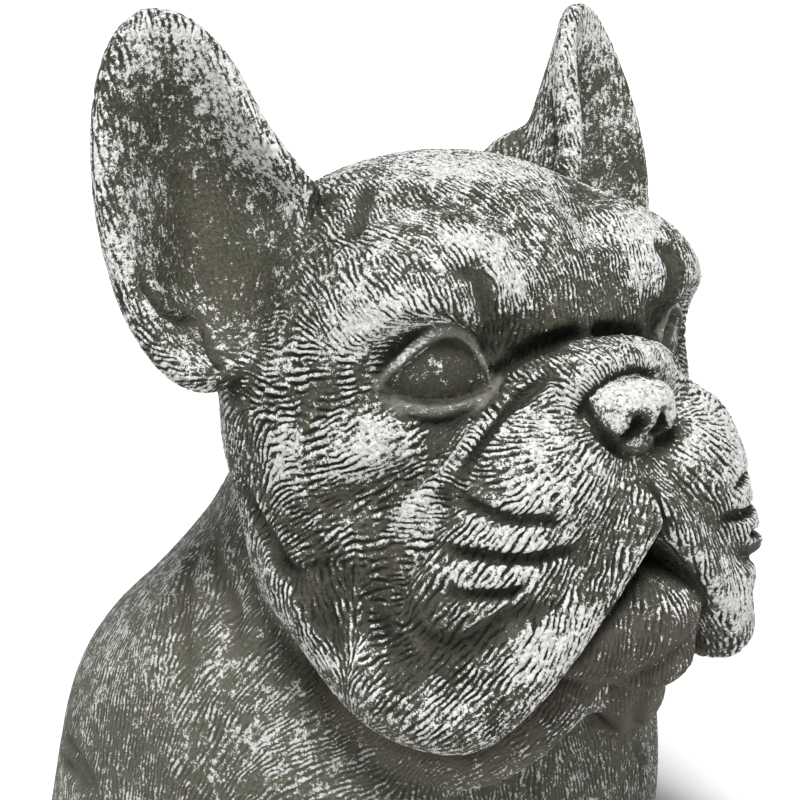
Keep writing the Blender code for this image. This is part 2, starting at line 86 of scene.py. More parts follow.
# ---- folds, laid out on a three-quarter drawing seen from VIEW_FROM mm ----
# depth, half width (mm), then stations in drawing steps (across, down); a step is VIEW_FROM / VIEW_SCALE mm
VIEW_TURN, VIEW_RISE, VIEW_FROM, VIEW_SCALE, VIEW_ORIGIN = 40.0, 10.0, 650.0, 2405.0, (554, 352)
FOLD_DEPTH = 1.5
FOLDS = [
    (2.0, 2.0, [(560, 372), (527, 394), (505, 418), (484, 444), (468, 466), (456, 485)]),              # edge of the muzzle
    (2.4, 2.6, [(497, 386), (510, 366), (532, 350), (562, 340), (598, 334), (630, 333), (646, 338)]),  # behind the nose roll
    (3.2, 4.5, [(462, 474), (436, 508), (418, 540), (403, 566), (393, 592), (391, 620)]),              # cheek beside the muzzle
    (-2.0, 4.0, [(512, 396), (490, 424), (466, 450), (440, 480), (414, 508), (396, 536)]),
    (2.2, 5.5, [(470, 430), (440, 458), (402, 480), (360, 494), (316, 504)]),                          # under the cheek bone
    (2.1, 1.8, [(456, 490), (466, 501), (486, 511), (506, 518), (526, 520), (547, 520), (562, 528)]),  # muzzle
    (2.1, 1.8, [(440, 546), (463, 553), (486, 556), (506, 559), (534, 558), (559, 551), (576, 549)]),
    (1.8, 1.8, [(445, 588), (460, 594), (486, 595), (509, 592), (530, 583)]),
    (2.4, 3.0, [(412, 618), (430, 638), (459, 643), (483, 636), (503, 620), (526, 612), (550, 607)]),
    (1.8, 2.4, [(249, 485), (257, 510), (276, 548), (301, 584), (319, 606), (333, 630), (346, 660)]),  # edge of the cheek
    (2.0, 5.5, [(318, 556), (324, 580), (334, 606)]),
    (1.3, 3.0, [(207, 532), (194, 558), (186, 598), (185, 628), (187, 658), (194, 690)]),              # neck
    (1.1, 2.6, [(214, 538), (219, 566), (232, 598), (238, 636), (241, 662)]),
    (-1.4, 4.5, [(176, 585), (160, 616), (153, 650), (152, 694)]),
    (1.6, 2.5, [(62, 728), (73, 748), (87, 770), (99, 795)]),                                          # shoulder
    (1.6, 2.5, [(62, 757), (78, 774), (92, 795)]),
    (1.8, 2.2, [(634, 690), (635, 716), (637, 748), (640, 786)]),                                      # chest
    (1.1, 2.6, [(371, 178), (366, 200), (361, 222), (354, 246)]),                                      # temple
    (2.6, 6.0, [(402, 186), (434, 197), (466, 202), (492, 209), (510, 224), (526, 242), (540, 262)]),  # over the brow
    (1.9, 2.6, [(456, 268), (468, 272), (480, 268), (480, 284), (486, 306), (494, 330)]),              # inside the brow
    (3.0, 5.0, [(500, 318), (503, 340), (498, 362)]),
    (2.6, 1.6, [(139, 276), (149, 296), (160, 312), (174, 321), (189, 323), (200, 321)]),              # pocket in the ear
    (2.0, 1.5, [(203, 326), (207, 344), (214, 360), (223, 374)]),
]


def unit(v):
    v = np.asarray(v, float)
    return v / np.linalg.norm(v)


EYE_OUT, EYE_SIDE = unit((0.61, 0.79, 0)), unit((0.79, -0.61, 0))
EAR_UP, EAR_SIDE, EAR_OPEN = unit((-0.03, -0.306, 0.952)), unit((0.93, -0.358, -0.086)), unit((0.367, 0.882, 0.295))


# ---- distance helpers ----
def join(a, b, k):
    h = np.clip(0.5 + 0.5 * (b - a) / k, 0, 1)
    return b * (1 - h) + a * h - k * h * (1 - h)


def cut(a, b, k):
    """a without b, the edge rounded by k"""
    return -join(-a, b, k)


def both(a, b, k):
    return -join(-a, -b, k)


def mass(p, centre, half, axes=None):
    q = p - np.asarray(centre, float)
    if axes is not None:
        q = q @ axes
    half = np.asarray(half, float)
    k0 = np.sqrt(((q / half) ** 2).sum(1))
    k1 = np.sqrt(((q / half**2) ** 2).sum(1))
    return k0 * (k0 - 1) / np.maximum(k1, 1e-6)


def smooth_line(points, n=4):
    p = np.asarray(points, float)
    q = np.vstack([2 * p[0] - p[1], p, 2 * p[-1] - p[-2]])
    out = []
    for a, b, c, d in zip(q, q[1:], q[2:], q[3:]):
        for t in np.arange(n) / n:
            out.append(0.5 * (2 * b + (c - a) * t + (2 * a - 5 * b + 4 * c - d) * t**2 + (3 * b - a - 3 * c + d) * t**3))
    return np.array(out + [p[-1]])


def roll(p, stations, n=4):
    """distance to a bent roll of changing radius"""
    s, best = smooth_line(stations, n), np.full(len(p), 1e9)
    for a, b in zip(s, s[1:]):
        ab = b[:3] - a[:3]
        t = np.clip((p - a[:3]) @ ab / (ab @ ab), 0, 1)
        best = np.minimum(best, np.sqrt(((p - a[:3] - t[:, None] * ab) ** 2).sum(1)) - (a[3] + (b[3] - a[3]) * t))
    return best


def ease(x):
    x = np.clip(x, 0, 1)
    return x * x * (3 - 2 * x)


def near(p, lo, hi, margin):
    return np.nonzero(((p > np.asarray(lo, float) - margin) & (p < np.asarray(hi, float) + margin)).all(1))[0]


def within(p, d, lo, hi, margin, change):
    i = near(p, lo, hi, margin)
    if len(i):
        d[i] = change(p[i], d[i])
    return d


# ---- ears ----
def ear_width(up):
    return EAR_INNER + 0.012 * np.clip(28 - up, 0, 30) ** 2


def ear_floor(up, side):
    """how far the ear's wall lies behind its rim: the cup is deepest towards the skull"""
    inner, up, side = ear_width(up), up * 1.06, side * 1.13
    h = np.sqrt(np.clip(1 - (up / EAR_HALF) ** 2, 0.02, 1))
    s = np.clip((side + inner * h) / ((inner + EAR_OUTER) * h), 0, 1)
    t = np.clip((up + EAR_HALF) / (2 * EAR_HALF), 0, 1)
    depth = EAR_DEPTH * np.sin(math.pi * t**0.8).clip(0, 1) ** 1.3
    return -depth * np.sin(math.pi * s**0.7).clip(0, 1) ** 1.4 - 0.003 * np.clip(22 - up, 0, 45) ** 2


def ear(p, d):
    q = p - np.array(EAR_CENTRE)
    side, up, w = q @ EAR_SIDE, q @ EAR_UP, q @ EAR_OPEN
    width = np.where(side > 0, EAR_OUTER, ear_width(up))
    k0 = np.sqrt((up / EAR_HALF) ** 2 + (side / width) ** 2)
    k1 = np.maximum(np.sqrt((up / EAR_HALF**2) ** 2 + (side / width**2) ** 2), 1e-6)
    wall = EAR_WALL + 1.4 * np.clip(-(up - 15) / 60, 0, 1)
    u = -k0 * (k0 - 1) / k1 - wall                      # how far in from the rim's centre line
    keep = np.minimum(1, (1 - wall * k1 / np.maximum(k0, 1e-6)) / np.maximum(k0, 1e-6)).clip(0, 1)
    s, t = side * keep, up * keep
    floor = ear_floor(t, s)
    ds, dt = (ear_floor(t, s + 0.5) - ear_floor(t, s - 0.5)), (ear_floor(t + 0.5, s) - ear_floor(t - 0.5, s))
    steep = 1 / np.sqrt(1 + np.minimum(ds * ds + dt * dt, 9))
    m = (ds * side / width**2 + dt * up / EAR_HALF**2) / k1   # how fast the wall drops inwards
    rel = w - floor - m * np.maximum(u, 0)
    sheet = np.where(u - rel * m < 0, np.hypot(u, rel), np.abs(w - floor + m * np.minimum(u, 0)) * steep) - wall
    # the cup is clear of the head
    cup = mass(np.stack([side, up, w], 1), (-5, -3, 2), (21, 41, 22))
    d = cut(join(d, mass(p, *EAR_ROOT), 12), both(cup, (ear_floor(up, side) - w) * steep, 3), 5)
    return join(d, sheet, 4)


# ---- eyes ----
def lid_edges(side):
    t = np.clip(side / EYE_WIDTH + 0.5, 0, 1)
    return -4.6 + 13.8 * np.sin(math.pi * t**0.74).clip(0, 1) ** 0.9, -4.6 - 3.0 * np.sin(math.pi * t).clip(0, 1)


def lid(upper):
    side = np.linspace(-0.5, 0.5, 11) * EYE_WIDTH
    v = lid_edges(side)[0] + 0.9 * LID if upper else lid_edges(side)[1] - 0.9 * LID
    out = np.sqrt(np.clip((EYE_R + LID_OUT) ** 2 - side**2 - v**2, 1, None))
    p = np.array(EYE_CENTRE) + np.outer(side, EYE_SIDE) + np.outer(out, EYE_OUT) + np.outer(v, (0, 0, 1))
    return np.column_stack([p, LID * (1 - 0.25 * np.abs(side / EYE_WIDTH * 2) ** 4)])


LIDS = (lid(True), lid(False))


def eye(p, d):
    q = p - np.array(EYE_CENTRE)
    axes = np.stack([EYE_SIDE, EYE_OUT, (0, 0, 1)], 1)
    side, out, v = (q @ axes).T
    d = cut(d, mass(q, 25.5 * EYE_OUT, (20, 16, 15), axes), 6)
    top, low = lid_edges(side)
    gap = np.maximum(np.maximum(v - top, low - v) * 0.8, np.abs(side) - EYE_WIDTH / 2)
    d = join(d, both(np.sqrt((q * q).sum(1)) - EYE_R - 1.4, 1.8 - gap, 1), 3)
    d = join(d, np.minimum(roll(p, LIDS[0], 2), roll(p, LIDS[1], 2)), 1.0)
    return join(d, mass(q, 4.5 * EYE_OUT, EYEBALL, axes), 0.3)


def nose(p, d):
    d = join(d, roll(p, NOSE_RIM, 3), 3)
    d = cut(d, mass(p, (0, 34, -12.5), (16, 9.5, 11.5)), 2)
    pad = join(mass(p, (0, 28.5, -9.6), (14.2, 9.5, 6.8)), mass(p, (8.3, 28.5, -13.8), (5.8, 7.5, 5.9)), 2)
    pad = join(pad, mass(p, (0, 32, -12), (3.4, 6, 6)), 2)
    d = join(d, join(pad, mass(p, (0, 27.5, -19.6), (8.8, 6.5, 6)), 1.0), 1.2)
    return cut(cut(d, roll(p, NOSTRIL, 3), 0.7), roll(p, PHILTRUM, 3), 1.0)


# ---- the whole form; a is the point folded to the dog's left, b to the right ----
def hang(p):
    w = np.clip((-p[:, 2] - 45) / 35, 0, 1) * np.clip((p[:, 2] + 128) / 24, 0, 1) * np.clip((p[:, 1] + 48) / 34, 0, 1)
    q = p.copy()
    q[:, 2] -= HANG * np.tanh(p[:, 0] / 16) * w
    return q


def form(p):
    p = hang(p)
    a = p.copy()
    a[:, 0] = np.abs(a[:, 0])
    b = a * (-1, 1, 1)

    def pair(m, k):
        return join(mass(a, *m), mass(b, *m), k)

    d = join(mass(p, *SKULL), pair(BROW, 14), 12)
    d = join(d, mass(a, *CHEEK), 14)
    d = join(d, mass(a, *JOWL), 12)
    d = join(d, join(pair(MUZZLE, 12), pair(FLEW, 10), 10), 9)
    d = within(a, d, (0, -32, -95), (66, 46, -30), 26, lambda q, e: join(e, roll(q, LIP), 9))
    # the mouth opens under the lips
    d = within(a, d, (0, 5, -104), (50, 60, -42), 10, lambda q, e: cut(
        e, both(q[:, 0] * 0.76 + (q[:, 2] + 43) * 0.66, 15 - q[:, 1] + 0.1 * np.abs(q[:, 2] + 60), 3), 5))
    n = join(roll(p, NECK), mass(a, *SHOULDER), 18)
    n = join(join(n, mass(p, *BODY), 20), mass(p, *CHEST), 18)
    d = join(d, n, 3.5)
    d = within(a, d, (0, -34, -116), (56, 34, -66), 14, lambda q, e: join(e, join(roll(q, JAW), mass(q, *THROAT), 8), 2.5))
    d = within(p, d, (-27, 0, -92), (27, 50, -50), 12, lambda q, e: join(
        e, join(join(mass(q, *CHIN), mass(q, *CHIN_TOP), 8), roll(q, SCROLL), 3), 1.5))
    d = within(a, d, (28, -110, -15), (108, -22, 98), 14, ear)
    d = within(a, d, (0, 2, -32), (42, 30, 6), 20, lambda q, e: join(e, roll(q, NOSE_ROLL), 4))
    c = np.array(EYE_CENTRE)
    d = within(a, d, c - EYE_R, c + EYE_R, 18, eye)
    return within(a, d, (0, 12, -46), (24, 46, 4), 7, nose)


# ---- folds ----
def fold_lines():
    """the drawing's stations, carried along the line of sight to the form"""
    th, ph = math.radians(VIEW_TURN), math.radians(VIEW_RISE)
    back = np.array([-math.sin(th) * math.cos(ph), math.cos(th) * math.cos(ph), math.sin(ph)])
    right = np.array([math.cos(th), math.sin(th), 0])
    up = np.cross(back, right)
    up = up * math.copysign(1, up[2])
    ox, oy = (400 - VIEW_ORIGIN[0]) / VIEW_SCALE, (VIEW_ORIGIN[1] - 400) / VIEW_SCALE
    start = VIEW_FROM * (right * ox + up * oy + back)
    xy = np.array([s for fold in FOLDS for s in fold[2]], float)
    way = right * (xy[:, :1] - 400) / VIEW_SCALE + up * (400 - xy[:, 1:]) / VIEW_SCALE - back
    way /= np.linalg.norm(way, axis=1)[:, None]
    t = np.full(len(xy), 430.0)
    for _ in range(70):
        t += np.clip(form(start + t[:, None] * way), -4, 14) * 0.7
    hit = hang(start + (t[:, None] + 0.8) * way)
    hit[:, 0] = np.abs(hit[:, 0])
    out, i = [], 0
    for depth, width, stations in FOLDS:
        out.append((depth, width, smooth_line(hit[i : i + len(stations)], 4)))
        i += len(stations)
    return out


LINES = fold_lines()


def press(p, line, width, bank=0.0):
    """1 along the line, falling off to its sides, with raised banks if asked"""
    best, at = np.full(len(p), 1e9), np.zeros(len(p))
    n = len(line) - 1
    for i in range(n):
        ab = line[i + 1] - line[i]
        t = np.clip((p - line[i]) @ ab / (ab @ ab), 0, 1)
        d = ((p - line[i] - t[:, None] * ab) ** 2).sum(1)
        m = d < best
        best[m], at[m] = d[m], (i + t[m]) / n
    end = np.clip(np.minimum(at, 1 - at) * 4.5, 0, 1)
    shape = np.exp(-best / width**2) - bank * np.exp(-best / (2.3 * width) ** 2)
    return shape * (0.12 + 0.88 * end * end * (3 - 2 * end))


def field(p):
    d = form(p)
    i = np.nonzero(np.abs(d) < 9)[0]
    if len(i):
        a, e = hang(p[i]), d[i]
        a[:, 0] = np.abs(a[:, 0])
        for depth, width, line in LINES:
            narrow = width < 4
            j = near(a, line.min(0), line.max(0), (4.2 if narrow else 2.3) * width)
            if len(j):
                e[j] += (2.0 if narrow else FOLD_DEPTH) * depth * press(a[j], line, width, 0.35 * narrow)
        d[i] = e
    return np.maximum(d, -EYE_HEIGHT - p[:, 2])


# ---- meshing: one vertex in each grid cell that the surface crosses ----
def grid_mesh(lo, hi, h, block=8):
    lo = np.asarray(lo, float)
    nb = np.ceil((np.asarray(hi) - lo) / h / block).astype(int)
    centres = [lo[i] + (np.arange(nb[i]) + 0.5) * block * h for i in range(3)]
    d = form(np.stack(np.meshgrid(*centres, indexing="ij"), -1).reshape(-1, 3))
    size = nb * block + 1
    v = np.repeat(np.repeat(np.repeat(np.where(d < 0, -50.0, 50.0).reshape(nb), block, 0), block, 1), block, 2)
    v = np.pad(v, ((0, 1), (0, 1), (0, 1)), mode="edge")
    ids = np.stack(np.unravel_index(np.nonzero(np.abs(d) < block * h * 1.2 + 4)[0], nb), -1)
    low = np.stack(np.unravel_index(np.arange(nb.prod()), nb), -1)
    zc = lo[2] + (low[:, 2] + 0.5) * block * h
    ids = np.vstack([ids, low[(np.abs(zc + EYE_HEIGHT) < block * h) & (d < 0)]])
    mark = np.zeros(size, bool)
    for i in range(block + 1):
        for j in range(block + 1):
            for k in range(block + 1):
                mark[ids[:, 0] * block + i, ids[:, 1] * block + j, ids[:, 2] * block + k] = True
    g = np.stack(np.nonzero(mark), -1)
    v[g[:, 0], g[:, 1], g[:, 2]] = field(lo + g * h)
    corners = [(i, j, k) for i in (0, 1) for j in (0, 1) for k in (0, 1)]
    unpinch(v, size, corners)
    inside = v < 0
    count = np.zeros(size - 1, int)
    for i, j, k in corners:
        count += inside[i : size[0] - 1 + i, j : size[1] - 1 + j, k : size[2] - 1 + k]
    cells = np.stack(np.nonzero((count > 0) & (count < 8)), -1)
    index = np.full(size - 1, -1)
    index[tuple(cells.T)] = np.arange(len(cells))
    value = [v[cells[:, 0] + i, cells[:, 1] + j, cells[:, 2] + k] for i, j, k in corners]
    total, crossings = np.zeros((len(cells), 3)), np.zeros(len(cells))
    for m in range(8):
        for n in range(m + 1, 8):
            step = np.subtract(corners[n], corners[m])
            if abs(step).sum() == 1:
                hit = (value[m] < 0) != (value[n] < 0)
                t = np.where(hit, value[m] / np.where(hit, value[m] - value[n], 1), 0)
                total += (np.array(corners[m]) + t[:, None] * step) * hit[:, None]
                crossings += hit
    points = lo + (cells + total / crossings[:, None]) * h
    quads = []
    for axis in range(3):
        first = [slice(0, -1) if i == axis else slice(None) for i in range(3)]
        last = [slice(1, None) if i == axis else slice(None) for i in range(3)]
        edge = np.stack(np.nonzero(inside[tuple(first)] != inside[tuple(last)]), -1)
        u, w = (axis + 1) % 3, (axis + 2) % 3
        keep = (edge[:, u] > 0) & (edge[:, w] > 0) & (edge[:, u] < size[u] - 1) & (edge[:, w] < size[w] - 1)
        edge = edge[keep]
        ring = []
        for du, dw in ((-1, -1), (0, -1), (0, 0), (-1, 0)):
            cell = edge.copy()
            cell[:, u] += du
            cell[:, w] += dw
            ring.append(index[tuple(cell.T)])
        ring = np.stack(ring, -1)
        quads.append(np.where(inside[tuple(first)][tuple(edge.T)][:, None], ring, ring[:, ::-1]))
    return points, np.vstack(quads)


def one_patch(bits, corners):
    """whether the set corners of a cell hang together along its edges"""
    left = [c for n, c in enumerate(corners) if bits >> n & 1]
    if not left:
        return True
    reach = [left.pop()]
    for c in reach:
        for other in left[:]:
            if abs(np.subtract(c, other)).sum() == 1:
                reach.append(other)
                left.remove(other)
    return not left


def unpinch(v, size, corners):
    """fill cells in which the surface would touch itself at a point or along an edge"""
    bad = np.array([not (one_patch(n, corners) and one_patch(255 - n, corners)) for n in range(256)])
    for _ in range(40):
        bits = np.zeros(size - 1, int)
        for n, (i, j, k) in enumerate(corners):
            bits += (v[i : size[0] - 1 + i, j : size[1] - 1 + j, k : size[2] - 1 + k] < 0).astype(int) << n
        cells = np.stack(np.nonzero(bad[bits]), -1)
        if not len(cells):
            return
        for cell in cells:
            free = [tuple(cell + c) for c in corners if v[tuple(cell + c)] >= 0]
            if free:
                v[min(free, key=lambda g: v[g])] = -1e-3


def split(points, quads, chosen):
    """cut the chosen faces in four; their neighbours take the new points into their edges"""
    n, a, rest = len(points), quads[chosen], quads[~chosen]

    def keys(q):
        e = np.sort(np.stack([q, np.roll(q, -1, 1)], -1), -1).astype(np.int64)
        return e[..., 0] * n + e[..., 1]

    cutting, inverse = np.unique(keys(a), return_inverse=True)
    mids = (points[cutting // n] + points[cutting % n]) / 2
    mid = n + inverse.reshape(-1, 4)
    centre = n + len(cutting) + np.arange(len(a))
    fine = np.concatenate([np.stack([a[:, i], mid[:, i], centre, mid[:, i - 1]], 1) for i in range(4)])
    k = keys(rest)
    at = np.minimum(np.searchsorted(cutting, k), len(cutting) - 1)
    between = np.where(cutting[at] == k, n + at, -1)
    ring = np.stack([rest, between], -1).reshape(-1, 8)
    loops = np.concatenate([fine.ravel(), ring[ring >= 0]])
    sides = np.concatenate([np.full(len(fine), 4), (ring >= 0).sum(1)])
    return np.vstack([points, mids, points[a].mean(1)]), loops, sides


def mesh_of(name, points, loops, sides):
    me = bpy.data.meshes.new(name)
    me.vertices.add(len(points))
    me.vertices.foreach_set("co", points.astype(np.float32).ravel())
    me.loops.add(len(loops))
    me.loops.foreach_set("vertex_index", loops.astype(np.int32))
    me.polygons.add(len(sides))
    me.polygons.foreach_set("loop_start", np.concatenate([[0], np.cumsum(sides)[:-1]]).astype(np.int32))
    me.update(calc_edges=True)
    return me


def slope(shape, p, e):
    """the direction in which shape grows fastest, and its rate"""
    corners = np.array([(1, -1, -1), (-1, -1, 1), (-1, 1, -1), (1, 1, 1)], float)
    value = np.stack([shape(p + c * e) for c in corners], 1)
    g = value @ corners / (4 * e)
    length = np.linalg.norm(g, axis=1)
    return g / np.maximum(length, 1e-9)[:, None], length, value.mean(1)


def smoothed(points, quads, weight, rounds):
    """pull points towards the middle of their neighbours and back out, as far as weight says"""
    e = np.unique(np.sort(np.stack([quads, np.roll(quads, -1, 1)], -1).reshape(-1, 2), 1), axis=0)
    count = np.bincount(e.ravel(), minlength=len(points))[:, None]
    for i in range(2 * rounds):
        total = np.stack([np.bincount(e[:, 0], points[e[:, 1], k], len(points))
                          + np.bincount(e[:, 1], points[e[:, 0], k], len(points)) for k in range(3)], 1)
        points = points + (0.6 if i % 2 == 0 else -0.5) * weight[:, None] * (total / count - points)
    return points


def settle(points, steps=2):
    for _ in range(steps):
        n, rate, value = slope(field, points, 0.15)
        points = points - n * (np.clip(value / np.clip(rate, 0.5, 3), -0.8, 0.8))[:, None]
    return points


# ---- how the fur lies ----
# On the three-quarter drawing: across, down, and the line of the strokes in degrees, up to the right counted
# positive. They all run away from the nose.
NOSE_AT = (640, 420)
LIE = [
    # skull and forehead
    (425, 169, -8), (462, 165, -15), (491, 177, -35), (513, 191, -45), (528, 169, -60), (543, 155, -80),
    (550, 213, -57), (535, 243, -63), (528, 287, -78), (524, 323, 90), (529, 184, -62), (551, 228, -55),
    (566, 265, -65), (544, 287, -75), (581, 199, -72), (595, 243, -80), (603, 265, -85), (570, 301, 90),
    (625, 221, -75), (647, 257, -87), (654, 287, 90), (639, 206, -60),
    # brow and temple
    (462, 228, -55), (433, 240, -45), (491, 228, -48), (506, 257, -60), (499, 287, -75), (418, 279, -60),
    (396, 272, -52), (374, 279, -55), (359, 265, -75), (352, 309, -60), (367, 323, -30), (374, 345, -8),
    (345, 360, 0), (433, 199, -22), (403, 191, -50), (396, 213, -45), (381, 184, -40), (374, 206, -80),
    (345, 206, -50), (381, 235, -15), (403, 240, -20),
    # behind the eye, cheek
    (340, 332, -60), (366, 326, -45), (359, 357, -5), (315, 377, 2), (283, 389, 0), (340, 377, 8), (328, 402, 0),
    (302, 421, 15), (340, 415, 30), (366, 428, 35), (345, 447, 25), (374, 440, 30), (359, 418, 35), (359, 469, 20),
    (403, 455, 30), (440, 433, 30), (462, 440, 42), (315, 447, 10), (328, 466, 15), (308, 459, 12), (315, 485, 17),
    (353, 479, 20), (251, 370, -20), (238, 351, 0), (251, 453, 85), (245, 479, 85), (320, 536, 30), (331, 594, -75),
    (342, 623, -80), (288, 623, -70), (320, 651, -60), (385, 528, 0), (401, 545, 3), (418, 511, 10), (435, 483, 25),
    (377, 495, 30), (385, 578, 0), (377, 611, 0),
    # the ridge beside the muzzle
    (491, 418, -40), (484, 433, -30), (462, 447, -40), (455, 462, -45), (440, 469, -40), (433, 488, -20),
    (411, 503, -10), (403, 521, -3), (396, 535, 0),
    # muzzle
    (571, 356, -30), (577, 387, -35), (594, 368, -50), (617, 364, -60), (640, 364, -68), (571, 399, -25),
    (566, 422, 10), (535, 425, -3), (550, 433, 0), (543, 400, 30), (535, 455, 10), (521, 469, 12), (499, 477, 0),
    (535, 477, 27), (528, 499, 45), (550, 491, 40), (501, 495, 15), (509, 478, 35), (542, 503, 50), (576, 487, 50),
    (592, 511, 60), (583, 462, 55), (571, 479, 50), (594, 479, 60), (617, 485, 70), (635, 496, 80), (526, 536, 52),
    (476, 536, 45), (451, 578, 60), (476, 578, 60), (509, 578, 50), (567, 570, 65), (584, 553, 60), (609, 553, 80),
    (426, 603, 55), (443, 611, 50), (493, 603, 45), (542, 611, 60), (567, 611, 75), (584, 619, 80), (551, 644, 75),
    (526, 652, 55), (509, 669, 50), (459, 694, 42), (410, 686, 40), (385, 677, 45), (393, 652, 20), (476, 644, 45),
    (535, 364, -55), (600, 652, 82), (576, 694, 70), (609, 619, 88),
    # neck, shoulder, chest
    (168, 547, 70), (190, 590, 80), (158, 655, 80), (103, 677, 75), (125, 763, 85), (212, 644, 48), (201, 688, 55),
    (212, 720, 65), (223, 763, 60), (255, 677, 45), (277, 688, 50), (298, 720, 30), (288, 753, 25), (320, 763, 18),
    (255, 774, 45), (620, 740, 88), (480, 770, 30), (640, 700, -85),
]
# where the drawing doesn't show it: a place in the head frame, and the way the fur runs there
LIE_BEHIND = [
    ((18, -76, 44), (0, -1, -0.1)), ((20, -98, 22), (0, -0.4, -1)), ((14, -104, -6), (0, -0.1, -1)),
    ((50, -86, -6), (0.1, -0.5, -1)), ((60, -70, -40), (0.1, -0.6, -1)), ((52, -94, -70), (0.4, -0.3, -1)),
    ((22, -140, -90), (0.2, -0.3, -1)), ((30, -165, -125), (0.2, -0.1, -1)), ((80, -120, -110), (0.4, -0.3, -1)),
    ((90, -90, -140), (0.2, -0.1, -1)), ((96, -75, 62), (0, -0.3, 1)), ((96, -82, 88), (0, -0.3, 1)),
    ((72, -78, 40), (0.1, -0.3, 1)), ((98, -66, 30), (0.1, -0.3, 1)), ((82, -70, 60), (0.1, -0.3, 1)),
    ((90, -62, 40), (0.3, -0.3, 1)), ((88, -74, 80), (0.1, -0.3, 1)), ((70, -66, 40), (-0.1, -0.3, 1)),
    ((62, -60, 15), (0.1, -0.3, 1)), ((0, 0, -130), (0.2, 0, -1)), ((20, -4, -104), (0.3, -0.6, -1)),
    ((8, 32, -66), (0.1, 0, -1)), ((2, 36, -82), (0, -0.4, -1)), ((14, 24, -86), (0.5, -0.8, -0.4)),
]
# tufts and worn places: across, down, size, and how much more (or less) of the white stands on the strokes
WORN = [
    (478, 240, 17, 0.55), (455, 236, 12, 0.35), (506, 236, 12, 0.35), (513, 276, 13, 0.5), (407, 303, 15, 0.5),
    (350, 330, 17, 0.55), (372, 318, 14, 0.5), (340, 350, 12, 0.3), (404, 170, 10, 0.3), (490, 168, 20, 0.5),
    (530, 165, 18, 0.5), (470, 180, 14, 0.2), (502, 206, 12, 0.4), (576, 188, 14, 0.45), (594, 235, 13, 0.35),
    (594, 210, 10, 0.25), (648, 262, 20, 0.35), (640, 232, 14, 0.3), (280, 450, 14, 0.65), (278, 474, 13, 0.6),
    (285, 432, 12, 0.5), (382, 436, 24, 0.55), (398, 444, 15, 0.5), (356, 450, 18, 0.35), (296, 361, 20, 0.3),
    (460, 446, 15, 0.35), (440, 464, 12, 0.35), (418, 505, 15, 0.5), (408, 528, 10, 0.3), (536, 430, 20, 0.5),
    (530, 458, 18, 0.5), (536, 497, 24, 0.5), (508, 508, 16, 0.4), (560, 500, 16, 0.4), (512, 542, 16, 0.5),
    (484, 542, 16, 0.45), (548, 538, 14, 0.45), (463, 576, 14, 0.35), (523, 576, 12, 0.45), (532, 656, 17, 0.75),
    (530, 678, 14, 0.5), (575, 622, 20, 0.5), (570, 648, 15, 0.45), (440, 700, 24, 0.45), (480, 706, 20, 0.45),
    (412, 508, 24, 0.25), (252, 560, 8, 0.5), (262, 590, 8, 0.5), (282, 622, 9, 0.55), (306, 646, 9, 0.5),
    (326, 657, 9, 0.45), (293, 698, 14, 0.45), (270, 748, 20, 0.4), (315, 762, 20, 0.45), (300, 730, 14, 0.4),
    (212, 670, 14, 0.25), (242, 625, 12, 0.25), (590, 372, 9, 0.35), (617, 360, 9, 0.4), (648, 362, 9, 0.35),
    (575, 398, 9, 0.35), (604, 470, 14, 0.3), (576, 460, 14, 0.35), (472, 262, 6, 0.7),
    (215, 80, 20, 0.45), (260, 150, 20, 0.5), (287, 200, 14, 0.5), (150, 36, 22, 0.4), (185, 30, 16, 0.3),
    (108, 160, 16, 0.35), (122, 250, 18, 0.4), (150, 310, 18, 0.4), (182, 362, 14, 0.35), (200, 200, 36, -0.6),
    (232, 280, 22, -0.7), (168, 120, 24, -0.3),
    (447, 200, 24, -0.35), (603, 205, 8, -0.25), (606, 305, 26, -0.3), (560, 322, 18, -0.3), (477, 288, 13, -0.6),
    (500, 330, 16, -0.7), (420, 418, 16, -0.35), (484, 477, 16, -0.35), (312, 402, 14, -0.35), (420, 606, 18, -0.4),
    (450, 622, 16, -0.3), (420, 656, 26, -0.35), (498, 400, 12, -0.4), (392, 570, 14, -0.3), (400, 600, 10, -0.4),
    (360, 560, 14, -0.25), (345, 600, 10, -0.3), (306, 570, 14, -0.2), (345, 500, 12, -0.1), (452, 520, 9, -0.2), (300, 520, 18, -0.25), (270, 500, 14, -0.15), (330, 380, 12, -0.15), (150, 700, 30, -0.2),
    (440, 660, 22, -0.25), (400, 640, 18, -0.25), (437, 366, 8, 0.75), (500, 690, 30, -0.2), (470, 730, 30, -0.2),
]


def sight():
    th, ph = math.radians(VIEW_TURN), math.radians(VIEW_RISE)
    back = np.array([-math.sin(th) * math.cos(ph), math.cos(th) * math.cos(ph), math.sin(ph)])
    right = np.array([math.cos(th), math.sin(th), 0])
    up = np.cross(back, right)
    up = up * math.copysign(1, up[2])
    eye_at = VIEW_FROM * (right * (400 - VIEW_ORIGIN[0]) / VIEW_SCALE + up * (VIEW_ORIGIN[1] - 400) / VIEW_SCALE + back)
    return eye_at, right, up, back


def onto_form(xy):
    """the places on the form that the drawing's points show, and the lines of sight"""
    start, right, up, back = sight()
    xy = np.asarray(xy, float)
    way = right * (xy[:, :1] - 400) / VIEW_SCALE + up * (400 - xy[:, 1:2]) / VIEW_SCALE - back
    way /= np.linalg.norm(way, axis=1)[:, None]
    t = np.full(len(xy), 430.0)
    for _ in range(90):
        t += np.clip(form(start + t[:, None] * way), -4, 14) * 0.7
    return start + t[:, None] * way, way


def folded(p):
    return np.abs(p[:, 0:1]) * (1, 0, 0) + p * (0, 1, 1)


